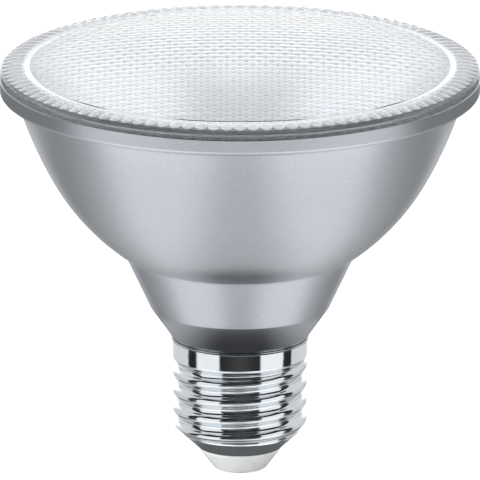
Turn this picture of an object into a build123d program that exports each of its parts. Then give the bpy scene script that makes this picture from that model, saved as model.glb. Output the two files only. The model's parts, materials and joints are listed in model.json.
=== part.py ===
from build123d import *
import math
import os

# LED reflector lamp with an E27 screw cap.
# Origin: centre of the contact face. +Z runs along the lamp to the lens. Millimetres.

# Screw cap
cap_height = 27.0
thread_pitch = 3.629
thread_crest_r = 13.2
thread_depth = 1.1
thread_crest_lead = 4.6
sections_per_turn = 8
cap_mouth_r = 8.35
cap_mouth_z = 4.6
cap_cone_height = 3.0
cap_cone_inset = 0.5
cap_collar = 3.6
cap_sheet = 0.32
cap_lip_reach = 0.4
cap_lip_height = 0.35
cap_lip_rise = 0.2

# Cap insulator and centre contact
insulator_tip_land = 0.95
insulator_tip_round = 0.6
insulator_edge = 0.6
insulator_web = 2.4
contact_r = 4.25
contact_proud = 0.3
contact_thickness = 0.45
contact_round = 0.12
contact_stem_r = 1.5
contact_stem_length = 5.4

# Housing, from the neck up
wall = 1.2
cap_joint_gap = 0.1
neck_foot_inset = 0.3
lower_neck_height = 6.2
lower_neck_top_r = 17.55
upper_neck_height = 10.2
neck_top_r = 22.35
neck_break_round = 3.5
step_round = 9.0
bowl_start_angle = 52.2
bowl_fullness = 0.68
bowl_middle_height = 16.3
bowl_height = 32.95
flange_reach = 3.1
flange_thickness = 1.15
flange_round = 0.8
rim_r = 47.0
rim_height = 2.75
rim_wall = 1.2
rim_round = 0.35

# Lens and seal
lens_inset = 0.1
lens_thickness = 1.8
lens_bevel = 0.5
lens_crown = 4.2
lens_groove_width = 1.0
lens_groove_depth = 0.35
lens_groove_land = 0.15
lens_skirt_inset = 1.0
lens_skirt_wall = 1.4
flute_count = 112
flute_round = 1.25
flute_height = 0.3
flute_length = 3.55
flute_land = 0.6
seal_width = 1.1

# Reflector
reflector_room = 0.8
reflector_wall = 1.0
reflector_flange = 0.8
reflector_flange_gap = 0.2
collar_headroom = 1.25
collar_gap = 0.45

# Heat spreader and light source
spreader_thickness = 3.0
spreader_above_step = 2.3
pad_thickness = 0.25
led_board_r = 14.0
led_board_thickness = 1.6
dam_gap = 1.1
dam_wall = 1.0
dam_height = 0.8
phosphor_height = 0.6
screw_edge = 2.7
screw_count = 3
screw_r = 1.25
screw_head_r = 2.25
screw_head_height = 1.7
screw_head_round = 0.6
screw_recess = 0.9
screw_length = 5.2

# Driver liner
liner_wall = 1.05
liner_floor = 1.2
liner_floor_gap = 0.3
liner_hole_r = 2.5
guide_rib = 1.0
guide_depth = 1.4

# Driver board and what stands on it
board_thickness = 1.2
board_face_y = -2.4
board_top_gap = 1.0
component_gap = 0.9
standoff = 0.3
pin_r = 0.35
pin_tail = 0.8
capacitor_r = 5.0
capacitor_length = 16.0
capacitor_groove = 0.4
capacitor_pitch = 5.0
core_width = 14.0
core_height = 12.0
core_depth = 5.0
core_leg = 4.0
core_yoke = 2.6
winding_depth = 9.4
winding_round = 1.5
film_width = 4.5
film_height = 9.0
film_depth = 6.0
film_round = 0.6
rectifier_width = 4.6
rectifier_height = 6.0
rectifier_depth = 2.6
choke_r = 3.25
choke_waist_r = 2.7
choke_flange = 0.8
choke_room = 0.82
choke_below_neck = 5.1
chip_width = 4.0
chip_height = 5.0
chip_depth = 1.5
chip_lead_width = 0.42
chip_lead_pitch = 1.27
chip_lead_reach = 1.0
chip_lead_sheet = 0.22
fuse_r = 1.4
fuse_length = 7.0
fuse_above_foot = 4.0
fuse_wire_reach = 1.8

# Inner wires
wire_r = 0.6
wire_bend = 2.0
neutral_x = 6.8
led_wire_x = 3.0
led_wire_edge = 3.0
led_wire_below_board_top = 2.6
led_wire_stub = 0.5

# Clearances
seat_gap = 0.05
slide_gap = 0.1
hole_gap = 0.1

# Heights that follow from the sizes above
thread_start_z = cap_mouth_z + cap_cone_height
thread_end_z = cap_height - cap_collar
thread_crest_z = thread_start_z + thread_crest_lead
neck_foot_z = cap_height + cap_joint_gap
break_z = neck_foot_z + lower_neck_height
step_z = break_z + upper_neck_height
flange_z = step_z + bowl_height
ledge_z = flange_z + flange_thickness
rim_top_z = flange_z + rim_height
lens_top_z = rim_top_z + lens_thickness
spreader_z = step_z + spreader_above_step
spreader_top_z = spreader_z + spreader_thickness
pad_top_z = spreader_top_z + pad_thickness
led_board_top_z = pad_top_z + led_board_thickness

# Radii of the cap and the neck that follow
thread_root_r = thread_crest_r - thread_depth
cap_cone_r = thread_root_r - cap_cone_inset
cap_lip_r = thread_crest_r + cap_lip_reach
neck_foot_r = cap_lip_r - neck_foot_inset
cap_bore_r = thread_root_r - cap_sheet
boss_r = cap_bore_r - slide_gap
boss_inner_r = boss_r - liner_wall
insulator_tip_r = contact_r + insulator_tip_land
insulator_r = cap_mouth_r - cap_sheet - seat_gap

# Radii of the bowl, the lens and the reflector that follow
bowl_top_r = rim_r - flange_reach
bowl_middle_r = neck_top_r + bowl_fullness * (bowl_top_r - neck_top_r)
rim_inner_r = rim_r - rim_wall
lens_r = rim_r - lens_inset
flute_outer_r = lens_r - flute_land
flute_inner_r = flute_outer_r - flute_length
lens_groove_r = flute_inner_r - lens_groove_land - lens_groove_width / 2
seal_r = rim_inner_r - slide_gap
reflector_flange_r = seal_r - seal_width - reflector_flange_gap
lens_skirt_r = reflector_flange_r - lens_skirt_inset
reflector_mouth_r = bowl_top_r - wall - reflector_room - reflector_wall
screw_circle_r = led_board_r - screw_edge
reflector_throat_r = screw_circle_r - screw_head_r - collar_gap - reflector_wall
reflector_collar = screw_head_height + collar_headroom
dam_r = reflector_throat_r - dam_gap

# Places of the driver's board that follow
cap_cone_slope = (cap_cone_r - cap_mouth_r) / cap_cone_height
insulator_top_z = cap_mouth_z + (boss_r - insulator_r) / cap_cone_slope
liner_floor_z = insulator_top_z + liner_floor_gap
board_foot_z = liner_floor_z + liner_floor
board_top_z = spreader_z - board_top_gap
board_back_y = board_face_y - board_thickness
far = 2 * rim_r


def spun(face):
    """Solid turned about Z from a flat face of radius and height."""
    return revolve(Plane.XZ * face, Axis.Z)


def turned_points(*points):
    """Solid turned about Z from corner points of radius and height."""
    return spun(make_face(Polyline(*points, close=True)))


def band(inner, outer, bottom, top):
    """Flat rectangle between two radii and two heights."""
    return Pos((inner + outer) / 2, (bottom + top) / 2) * Rectangle(outer - inner, top - bottom)


def slab(bottom, top):
    """Wide block between two heights."""
    return Pos(0, 0, (bottom + top) / 2) * Box(2 * far, 2 * far, top - bottom)


def post(x, y, radius, bottom, top):
    """Upright cylinder between two heights."""
    return Pos(x, y, (bottom + top) / 2) * Cylinder(radius, top - bottom)


def cross_pin(x, z, radius, front, back):
    """Cylinder along Y between two depths."""
    return Pos(x, (front + back) / 2, z) * Rot(90, 0, 0) * Cylinder(radius, abs(front - back))


def wire(radius, bend, *points):
    """Round wire along straight runs joined by tangent bends."""
    path = FilletPolyline(*points, radius=bend)
    return sweep(Plane(origin=path @ 0, z_dir=path % 0) * Circle(radius), path=path)


def within(gap, bottom, top):
    """Flat half section inside the housing's outer face, a distance in from it, between two heights."""
    foot = (neck_foot_r, neck_foot_z)
    corner = (lower_neck_top_r, break_z)
    step = (neck_top_r, step_z)
    middle = (bowl_middle_r, step_z + bowl_middle_height)
    brim = (bowl_top_r, flange_z)
    below = (2 * foot[0] - corner[0], 2 * foot[1] - corner[1])
    lean = math.radians(bowl_start_angle)
    lower_bowl = TangentArc(step, middle, tangent=(math.sin(lean), math.cos(lean)))
    upper_bowl = TangentArc(middle, brim, tangent=lower_bowl % 1)
    above = upper_bowl @ 1 + upper_bowl % 1 * 2 * rim_height
    closing = Polyline(above, (-far, above.Y), (-far, below[1]), below)
    face = make_face([Line(below, corner), Line(corner, step), lower_bowl, upper_bowl,
                      Line(brim, above), closing])
    face = fillet(face.vertices().sort_by_distance((*corner, 0))[0], neck_break_round)
    face = fillet(face.vertices().sort_by_distance((*step, 0))[0], step_round)
    if gap:
        face = offset(face, amount=-gap)
    return face & band(0, far, bottom, top)


def make_cap_shell():
    """Rolled sheet cap: mouth, cone, knuckle thread, collar and lip, with a plain bore."""
    middle_r = (thread_crest_r + thread_root_r) / 2
    depth = (thread_crest_r - thread_root_r) / 2
    fade = thread_pitch / 2
    steps = round(sections_per_turn * (thread_end_z - thread_start_z) / thread_pitch)
    rings = [Pos(0, 0, cap_mouth_z) * Circle(cap_mouth_r)]
    for i in range(steps + 1):
        z = thread_start_z + (thread_end_z - thread_start_z) * i / steps
        rise = 0.5 - 0.5 * math.cos(math.pi * min(1, (z - thread_start_z) / fade))
        run_out = 0.5 - 0.5 * math.cos(math.pi * min(1, (thread_end_z - z) / fade))
        radius = cap_cone_r + rise * (middle_r - cap_cone_r) + (1 - run_out) * depth
        reach = depth * rise * run_out
        turn = 2 * math.pi * (z - thread_crest_z) / thread_pitch + math.pi
        rings.append(Pos(reach * math.cos(turn), reach * math.sin(turn), z) * Circle(radius))
    lip_z = cap_height - cap_lip_height
    rings.append(Pos(0, 0, lip_z - cap_lip_rise) * Circle(thread_crest_r))
    rings.append(Pos(0, 0, lip_z) * Circle(cap_lip_r))
    rings.append(Pos(0, 0, cap_height) * Circle(cap_lip_r))
    mouth_r = cap_mouth_r - cap_sheet
    shoulder_z = cap_mouth_z + (cap_bore_r - mouth_r) / cap_cone_slope
    bore = turned_points((0, cap_mouth_z), (mouth_r, cap_mouth_z), (cap_bore_r, shoulder_z),
                         (cap_bore_r, cap_height), (0, cap_height))
    return loft(rings, ruled=True) - bore


def make_cap_insulator():
    """White moulded cone with a dished inside and a hole for the contact's stem."""
    tip_z = contact_proud
    web_z = tip_z + insulator_web
    inner_r = boss_inner_r - liner_wall
    body = turned_points((0, tip_z), (insulator_tip_r, tip_z), (insulator_r, cap_mouth_z - insulator_edge),
                         (insulator_r, cap_mouth_z), (boss_r, insulator_top_z),
                         (inner_r, insulator_top_z), (contact_r, web_z), (0, web_z))
    tip = body.edges().filter_by(GeomType.CIRCLE).group_by(Axis.Z)[0]
    body = fillet(tip, insulator_tip_round)
    seat = post(0, 0, contact_r + seat_gap, 0, contact_thickness)
    return body - seat - post(0, 0, contact_stem_r + seat_gap, 0, contact_stem_length)


def make_contact_plate():
    """Centre contact: a disc with a hollow stem that takes the live wire."""
    plate = post(0, 0, contact_r, 0, contact_thickness)
    plate = fillet(plate.edges().filter_by(GeomType.CIRCLE).group_by(Axis.Z)[0], contact_round)
    stem = post(0, 0, contact_stem_r, 0, contact_stem_length)
    bore = post(0, 0, wire_r + hole_gap, contact_thickness, contact_stem_length)
    return plate + stem - bore


def make_housing():
    """Spun shell: neck, step, bowl, flange and upstanding rim in one wall."""
    section = within(0, neck_foot_z, ledge_z) + band(0, rim_r, flange_z, rim_top_z)
    section = fillet(section.vertices().sort_by_distance((rim_r, flange_z, 0))[0], rim_round)
    section = fillet(section.vertices().sort_by_distance((bowl_top_r, flange_z, 0))[0], flange_round)
    section = section - within(wall, neck_foot_z, ledge_z) - band(0, rim_inner_r, ledge_z, rim_top_z)
    return spun(section)


def make_lens_seal():
    """Silicone ring in the rim, under the lens."""
    return spun(band(seal_r - seal_width, seal_r, ledge_z, rim_top_z))


def crown_arc(edge_r, edge_z):
    """Arc of the lens's crown from a ring up to the axis."""
    bend_r = (edge_r ** 2 + lens_crown ** 2) / (2 * lens_crown)
    half_z = edge_z + lens_crown - bend_r + math.sqrt(bend_r ** 2 - edge_r ** 2 / 4)
    return ThreePointArc((edge_r, edge_z), (edge_r / 2, half_z), (0, edge_z + lens_crown))


def make_front_lens():
    """Clear crowned disc on the rim, with a skirt, a ring groove and a border of radial flutes."""
    skirt_z = ledge_z + reflector_flange
    groove_in = lens_groove_r - lens_groove_width / 2
    groove_out = lens_groove_r + lens_groove_width / 2
    groove = ThreePointArc((groove_in, lens_top_z), (lens_groove_r, lens_top_z - lens_groove_depth),
                           (groove_out, lens_top_z))
    skirt_in = lens_skirt_r - lens_skirt_wall
    border = Polyline((groove_out, lens_top_z), (lens_r - lens_bevel, lens_top_z),
                      (lens_r, lens_top_z - lens_bevel), (lens_r, rim_top_z), (lens_skirt_r, rim_top_z),
                      (lens_skirt_r, skirt_z), (skirt_in, skirt_z), (skirt_in, rim_top_z))
    inside = crown_arc(skirt_in, rim_top_z)
    outside = crown_arc(groove_in, lens_top_z)
    body = spun(make_face([groove, border, inside, Line(inside @ 1, outside @ 1), outside]))
    middle_r = (flute_inner_r + flute_outer_r) / 2
    flute = Rot(0, 90, 0) * Cylinder(flute_round, flute_outer_r - flute_inner_r)
    flute = Pos(middle_r, 0, lens_top_z + flute_height - flute_round) * flute
    flute = flute & slab(rim_top_z + lens_thickness / 2, lens_top_z + flute_height)
    return body + [Rot(0, 0, 360 * i / flute_count) * flute for i in range(flute_count)]


def reflector_line(bottom, top, shift):
    """Parabola from one height to another, moved outwards by shift."""
    foot_z = led_board_top_z + reflector_collar
    mouth_z = ledge_z + reflector_flange
    spread = (reflector_mouth_r ** 2 - reflector_throat_r ** 2) / (mouth_z - foot_z)
    start_r = math.sqrt(reflector_throat_r ** 2 + spread * (bottom - foot_z))
    end_r = math.sqrt(reflector_throat_r ** 2 + spread * (top - foot_z))
    bend_r = (start_r + end_r) / 2
    bend_z = bottom + 2 * start_r / spread * (bend_r - start_r)
    return Bezier((start_r + shift, bottom), (bend_r + shift, bend_z), (end_r + shift, top))


def make_reflector():
    """Metallised cup: collar round the light source, parabola, and a flange on the ledge."""
    foot_z = led_board_top_z + reflector_collar
    mouth_z = ledge_z + reflector_flange
    inner = reflector_line(foot_z, mouth_z, 0)
    outer = reflector_line(foot_z, ledge_z, reflector_wall)
    collar_r = reflector_throat_r + reflector_wall
    flange = Polyline(inner @ 1, (reflector_flange_r, mouth_z), (reflector_flange_r, ledge_z), outer @ 1)
    collar = Polyline(outer @ 0, (collar_r, led_board_top_z), (reflector_throat_r, led_board_top_z),
                      inner @ 0)
    return spun(make_face([inner, flange, outer, collar]))


def screw_places():
    """Centres of the light source's screws."""
    return [Rot(0, 0, 90 + 360 * i / screw_count) * Pos(screw_circle_r, 0) for i in range(screw_count)]


def light_source_holes(bottom, top):
    """Holes for the screws and for the two wires, between two heights."""
    screws = [place * post(0, 0, screw_r + hole_gap, bottom, top) for place in screw_places()]
    wires = [post(x, led_wire_y, wire_r + hole_gap, bottom, top) for x in (-led_wire_x, led_wire_x)]
    return screws + wires


def make_heat_spreader():
    """Aluminium plug whose edge follows the housing's inner face above the step."""
    body = spun(within(wall + seat_gap, spreader_z, spreader_top_z))
    return body - light_source_holes(spreader_z, spreader_top_z)


def make_thermal_pad():
    """Soft sheet between the board and the spreader."""
    return post(0, 0, led_board_r, spreader_top_z, pad_top_z) - light_source_holes(spreader_top_z, pad_top_z)


def make_led_board():
    """Metal-core disc that carries the light source."""
    disc = post(0, 0, led_board_r, pad_top_z, led_board_top_z)
    return disc - light_source_holes(pad_top_z, led_board_top_z)


def make_led_dam():
    """White ring that holds the phosphor."""
    top = led_board_top_z + dam_height
    ring = post(0, 0, dam_r, led_board_top_z, top) - post(0, 0, dam_r - dam_wall, led_board_top_z, top)
    return fillet(ring.edges().filter_by(GeomType.CIRCLE).group_by(Axis.Z)[-1], dam_wall / 4)


def make_led_phosphor():
    """Yellow fill inside the ring."""
    return post(0, 0, dam_r - dam_wall - seat_gap, led_board_top_z, led_board_top_z + phosphor_height)


def make_board_screws():
    """Round-headed screws through the board and the pad into the spreader."""
    head_top = led_board_top_z + screw_head_height
    head = post(0, 0, screw_head_r, led_board_top_z, head_top)
    head = fillet(head.edges().filter_by(GeomType.CIRCLE).group_by(Axis.Z)[-1], screw_head_round)
    arm = Box(2 * screw_recess, screw_recess / 2, screw_recess)
    cross = Pos(0, 0, head_top - screw_recess / 2) * (arm + Rot(0, 0, 90) * arm)
    screw = head - cross + post(0, 0, screw_r, led_board_top_z - screw_length, led_board_top_z)
    return Compound([place * screw for place in screw_places()])


def make_driver_liner():
    """Insulating sleeve: neck lining, boss inside the cap, floor and board guides."""
    section = within(wall + seat_gap, neck_foot_z, spreader_z)
    section = section + band(0, boss_r, liner_floor_z, neck_foot_z)
    section = section - within(wall + seat_gap + liner_wall, neck_foot_z, spreader_z)
    section = section - band(0, boss_inner_r, board_foot_z, neck_foot_z + liner_wall)
    sleeve = spun(section - band(0, liner_hole_r, liner_floor_z, board_foot_z))
    side = boss_inner_r - guide_depth
    height = neck_foot_z - board_foot_z
    ribs = Box(2 * boss_r, guide_rib, height) - Box(2 * side, guide_rib, height)
    for y in (board_face_y + slide_gap + guide_rib / 2, board_back_y - slide_gap - guide_rib / 2):
        pair = Pos(0, y, board_foot_z + height / 2) * ribs
        sleeve = sleeve + (pair & post(0, 0, boss_r - liner_wall / 2, board_foot_z, neck_foot_z))
    return sleeve - cross_pin(neutral_x, supply_z, wire_r + hole_gap, board_back_y - guide_depth, -boss_r)


# Places of the parts on the driver board
core_top_z = board_top_z - component_gap
core_z = core_top_z - core_height / 2
core_y = board_face_y + standoff + winding_depth / 2
capacitor_y = board_face_y + standoff + capacitor_r
capacitor_top_z = core_top_z - core_height - component_gap
capacitor_foot_z = capacitor_top_z - capacitor_length
capacitor_pin_z = capacitor_foot_z - wire_bend
film_x = -(core_width / 2 + component_gap + film_width / 2)
film_z = core_top_z - film_height / 2
rectifier_x = core_width / 2 + component_gap + rectifier_width / 2
rectifier_z = core_top_z - rectifier_height / 2
supply_z = capacitor_pin_z
choke_y = board_back_y - standoff
choke_z = neck_foot_z - choke_below_neck
choke_length = math.sqrt(boss_inner_r ** 2 - choke_r ** 2) + choke_y - choke_room
fuse_x = -(choke_r + component_gap + fuse_r)
fuse_y = board_back_y - standoff - fuse_r
fuse_foot_z = board_foot_z + fuse_above_foot
led_wire_y = led_wire_edge - led_board_r
led_wire_z = board_top_z - led_wire_below_board_top
chip_z = choke_z + choke_r + component_gap + chip_height / 2
winding_width = core_width - 2 * core_yoke - 2 * seat_gap
winding_height = core_height - 2 * core_yoke - 2 * seat_gap
winding_pin_x = winding_width / 2 - winding_round - pin_r

# The board's head clears the outer parts, and its shoulder stays inside the liner's cone
board_head = core_width / 2 + component_gap + max(film_width, rectifier_width) + standoff
neck_lean = math.atan2(lower_neck_top_r - neck_foot_r, lower_neck_height)
room_foot_r = neck_foot_r - (wall + seat_gap + liner_wall) / math.cos(neck_lean)
shoulder_r = math.hypot(board_head + slide_gap, board_back_y)
shoulder_z = neck_foot_z + (shoulder_r - room_foot_r) / math.tan(neck_lean)

capacitor_pins = [(-capacitor_pitch / 2, capacitor_pin_z), (capacitor_pitch / 2, capacitor_pin_z)]
winding_pins = [(x, core_z + z) for x in (-winding_pin_x, winding_pin_x)
                for z in (-winding_height / 3, winding_height / 3)]
film_pins = [(film_x, film_z - film_height / 3), (film_x, film_z + film_height / 3)]
rectifier_pins = [(rectifier_x, rectifier_z + rectifier_height * k / 8) for k in (-3, -1, 1, 3)]
choke_pins = [(-choke_waist_r / 2, choke_z), (choke_waist_r / 2, choke_z)]
fuse_pins = [(fuse_x, fuse_foot_z - fuse_wire_reach), (fuse_x, fuse_foot_z + fuse_length + fuse_wire_reach)]
wire_pins = [(0, supply_z), (neutral_x, supply_z), (-led_wire_x, led_wire_z), (led_wire_x, led_wire_z)]
small_pins = capacitor_pins + winding_pins + film_pins + rectifier_pins + choke_pins + fuse_pins


def front_pins(pins):
    """Pins from inside a part on the board's front, through the board."""
    return [cross_pin(x, z, pin_r, board_face_y + 2 * standoff, board_back_y - pin_tail) for x, z in pins]


def make_driver_board():
    """Upright board with a tongue in the boss and a wider head in the neck."""
    tongue = math.sqrt(room_foot_r ** 2 - board_back_y ** 2) - slide_gap
    outline = Polyline((-tongue, board_foot_z), (tongue, board_foot_z), (tongue, neck_foot_z),
                       (board_head, shoulder_z), (board_head, board_top_z), (-board_head, board_top_z),
                       (-board_head, shoulder_z), (-tongue, neck_foot_z), close=True)
    plate = Pos(0, board_face_y, 0) * extrude(Plane.XZ * make_face(outline), board_thickness)
    holes = [cross_pin(x, z, pin_r + hole_gap, board_face_y, board_back_y) for x, z in small_pins]
    holes += [cross_pin(x, z, wire_r + hole_gap, board_face_y, board_back_y) for x, z in wire_pins]
    return plate - holes


def make_bulk_capacitor():
    """Can with a crimp groove, lying along the board, and two bent legs."""
    groove_z = capacitor_foot_z + 2 * capacitor_groove
    can = post(0, 0, capacitor_r, capacitor_foot_z, capacitor_top_z)
    can = fillet(can.edges().filter_by(GeomType.CIRCLE), capacitor_groove)
    ring = Pos(0, 0, groove_z + capacitor_groove) * Torus(capacitor_r, capacitor_groove)
    can = Pos(0, capacitor_y, 0) * (can - ring)
    for x, z in capacitor_pins:
        can = can + wire(pin_r, wire_bend / 2, (x, capacitor_y, capacitor_foot_z + capacitor_groove),
                         (x, capacitor_y, z), (x, board_back_y - pin_tail, z))
    return can


def make_transformer_core():
    """Closed ferrite core with a middle leg and two windows."""
    window_width = (core_width - 2 * core_yoke - core_leg) / 2
    window_x = (core_leg + window_width) / 2
    window = Box(window_width, core_depth, core_height - 2 * core_yoke)
    core = Box(core_width, core_depth, core_height)
    return Pos(0, core_y, core_z) * (core - Pos(window_x, 0, 0) * window - Pos(-window_x, 0, 0) * window)


def make_transformer_winding():
    """Taped winding round the core's middle leg, on four pins."""
    coil = Box(winding_width, winding_depth, winding_height)
    coil = fillet(coil.edges().filter_by(Axis.Z), winding_round)
    coil = coil - Box(core_leg + 2 * seat_gap, core_depth + 2 * seat_gap, core_height)
    return Pos(0, core_y, core_z) * coil + front_pins(winding_pins)


def make_film_capacitor():
    """Boxed capacitor with two pins."""
    y = board_face_y + standoff + film_depth / 2
    box = Pos(film_x, y, film_z) * Box(film_width, film_depth, film_height)
    return fillet(box.edges(), film_round) + front_pins(film_pins)


def make_bridge_rectifier():
    """Flat rectifier with four pins in a row."""
    y = board_face_y + standoff + rectifier_depth / 2
    box = Pos(rectifier_x, y, rectifier_z) * Box(rectifier_width, rectifier_depth, rectifier_height)
    return chamfer(box.edges().filter_by(Axis.Z), rectifier_depth / 6) + front_pins(rectifier_pins)


def make_filter_choke():
    """Wound drum on the board's back."""
    half = choke_length / 2
    neck = half - choke_flange
    drum = turned_points((0, -half), (choke_r, -half), (choke_r, -neck), (choke_waist_r, -neck),
                         (choke_waist_r, neck), (choke_r, neck), (choke_r, half), (0, half))
    drum = Pos(0, choke_y - half, choke_z) * Rot(90, 0, 0) * drum
    inside = choke_y - choke_flange / 2
    return drum + [cross_pin(x, z, pin_r, inside, board_face_y) for x, z in choke_pins]


def make_driver_chip():
    """Control chip on the board's back, with bent leads on two sides."""
    body_y = board_back_y - chip_lead_sheet - chip_depth / 2
    body = Pos(0, body_y, chip_z) * Box(chip_width, chip_depth, chip_height)
    body = chamfer(body.edges().filter_by(Axis.Z), chip_depth / 6)
    sheet = chip_lead_sheet
    edge = chip_width / 2
    foot = edge + chip_lead_reach
    knee = edge + chip_lead_reach / 2
    lead = Polyline((0, body_y), (knee, body_y), (knee, board_back_y - sheet), (foot, board_back_y - sheet),
                    (foot, board_back_y), (knee - sheet, board_back_y), (knee - sheet, body_y + sheet),
                    (0, body_y + sheet), close=True)
    for k in (-1.5, -0.5, 0.5, 1.5):
        strip = Pos(0, 0, chip_z + k * chip_lead_pitch - chip_lead_width / 2)
        strip = strip * extrude(make_face(lead), chip_lead_width)
        body = body + strip + mirror(strip, Plane.YZ)
    return body


def make_fuse_resistor():
    """Round resistor along the board's back, its two legs bent into the board."""
    top = fuse_foot_z + fuse_length
    body = fillet(post(0, 0, fuse_r, fuse_foot_z, top).edges().filter_by(GeomType.CIRCLE), fuse_r / 3)
    body = Pos(fuse_x, fuse_y, 0) * body
    middle = (fuse_x, fuse_y, (fuse_foot_z + top) / 2)
    for x, z in fuse_pins:
        body = body + wire(pin_r, fuse_wire_reach / 2, middle, (x, fuse_y, z), (x, board_face_y, z))
    return body


def make_live_lead():
    """Wire from the contact's stem up to the board."""
    return wire(wire_r, wire_bend, (0, 0, contact_thickness), (0, 0, supply_z),
                (0, board_back_y, supply_z))


def make_neutral_lead():
    """Wire from the board through the boss to the cap's inner face."""
    lead = cross_pin(neutral_x, supply_z, wire_r, board_face_y, -thread_crest_r)
    return lead & post(0, 0, cap_bore_r, liner_floor_z, neck_foot_z)


def make_led_lead(x):
    """Wire from the board up through the spreader to the light source's board."""
    return wire(wire_r, wire_bend, (x, board_face_y, led_wire_z), (x, led_wire_y, led_wire_z),
                (x, led_wire_y, led_board_top_z + led_wire_stub))


pieces = {
    "front_lens": make_front_lens(),
    "lens_seal": make_lens_seal(),
    "housing": make_housing(),
    "reflector": make_reflector(),
    "heat_spreader": make_heat_spreader(),
    "thermal_pad": make_thermal_pad(),
    "led_board": make_led_board(),
    "led_dam": make_led_dam(),
    "led_phosphor": make_led_phosphor(),
    "board_screws": make_board_screws(),
    "driver_liner": make_driver_liner(),
    "driver_board": make_driver_board(),
    "bulk_capacitor": make_bulk_capacitor(),
    "transformer_core": make_transformer_core(),
    "transformer_winding": make_transformer_winding(),
    "film_capacitor": make_film_capacitor(),
    "bridge_rectifier": make_bridge_rectifier(),
    "filter_choke": make_filter_choke(),
    "driver_chip": make_driver_chip(),
    "fuse_resistor": make_fuse_resistor(),
    "live_lead": make_live_lead(),
    "neutral_lead": make_neutral_lead(),
    "led_lead_plus": make_led_lead(-led_wire_x),
    "led_lead_minus": make_led_lead(led_wire_x),
    "cap_shell": make_cap_shell(),
    "cap_insulator": make_cap_insulator(),
    "contact_plate": make_contact_plate(),
}

os.makedirs("parts", exist_ok=True)
for name, piece in pieces.items():
    export_step(piece, f"parts/{name}.step")
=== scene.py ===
import cmath
import json
import math

import bmesh
import bpy
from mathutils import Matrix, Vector


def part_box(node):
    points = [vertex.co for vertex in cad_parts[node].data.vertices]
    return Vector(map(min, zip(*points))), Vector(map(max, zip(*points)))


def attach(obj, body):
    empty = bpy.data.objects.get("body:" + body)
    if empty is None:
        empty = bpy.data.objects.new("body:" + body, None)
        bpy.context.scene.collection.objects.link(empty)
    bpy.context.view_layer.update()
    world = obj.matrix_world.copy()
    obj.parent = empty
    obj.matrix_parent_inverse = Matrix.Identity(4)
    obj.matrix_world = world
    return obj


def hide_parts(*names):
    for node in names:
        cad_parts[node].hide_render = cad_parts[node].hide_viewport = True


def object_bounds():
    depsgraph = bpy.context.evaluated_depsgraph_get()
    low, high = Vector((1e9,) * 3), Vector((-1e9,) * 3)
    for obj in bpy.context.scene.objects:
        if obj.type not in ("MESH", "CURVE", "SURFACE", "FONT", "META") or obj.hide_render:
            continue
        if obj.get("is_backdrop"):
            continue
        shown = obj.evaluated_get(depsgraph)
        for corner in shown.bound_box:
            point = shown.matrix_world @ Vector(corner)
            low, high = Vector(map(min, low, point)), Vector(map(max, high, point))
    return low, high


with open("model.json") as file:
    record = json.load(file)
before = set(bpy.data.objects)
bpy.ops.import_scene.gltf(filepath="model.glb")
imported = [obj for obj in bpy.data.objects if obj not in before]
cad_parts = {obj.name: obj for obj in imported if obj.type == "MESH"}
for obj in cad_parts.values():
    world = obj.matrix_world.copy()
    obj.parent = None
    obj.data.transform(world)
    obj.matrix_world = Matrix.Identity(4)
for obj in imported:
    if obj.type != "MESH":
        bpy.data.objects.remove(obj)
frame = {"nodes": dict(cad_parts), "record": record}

bl_info = {
    "name": "LED reflector lamp",
    "version": (1, 0, 0),
    "blender": (4, 5, 0),
    "location": "View3D > Sidebar > Lamp",
    "description": "Dresses a reflector-shaped LED lamp with a screw cap and sets up a studio round it",
    "category": "Add Mesh",
}

# The frame's own box, its nodes' boxes and its colours
cad_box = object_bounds()
MM = 0.001
housing_low, housing_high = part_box("housing")
lens_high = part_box("front_lens")[1]
cap_low, cap_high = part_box("cap_shell")
insulator_low, insulator_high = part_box("cap_insulator")
contact_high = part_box("contact_plate")[1]
reflector_low, reflector_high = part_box("reflector")
slots = {row["slot"]: row for row in frame["record"]["materials"]}


# Properties


def length(name, description, default):
    """Size in metres that a user can change."""
    return bpy.props.FloatProperty(
        name=name, description=description, default=default, min=0.0, precision=5, unit="LENGTH")


def angle(name, description, degrees):
    """Angle that a user can change."""
    return bpy.props.FloatProperty(
        name=name, description=description, default=math.radians(degrees), subtype="ANGLE")


def share(name, description, default):
    """Share between nothing and all."""
    return bpy.props.FloatProperty(
        name=name, description=description, default=default, min=0.0, max=1.0, subtype="FACTOR")


def level(name, description, default):
    """Level of a light, or its gain, that may pass 1."""
    return bpy.props.FloatProperty(
        name=name, description=description, default=default, min=0.0, soft_max=3.0, subtype="FACTOR")


def count(name, description, default):
    """Whole number of repeats."""
    return bpy.props.IntProperty(name=name, description=description, default=default, min=1)


def tint(name, description, colour):
    """Colour that a user can change."""
    return bpy.props.FloatVectorProperty(
        name=name, description=description, default=colour[:3], size=3, min=0.0, max=1.0, subtype="COLOR")


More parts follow.
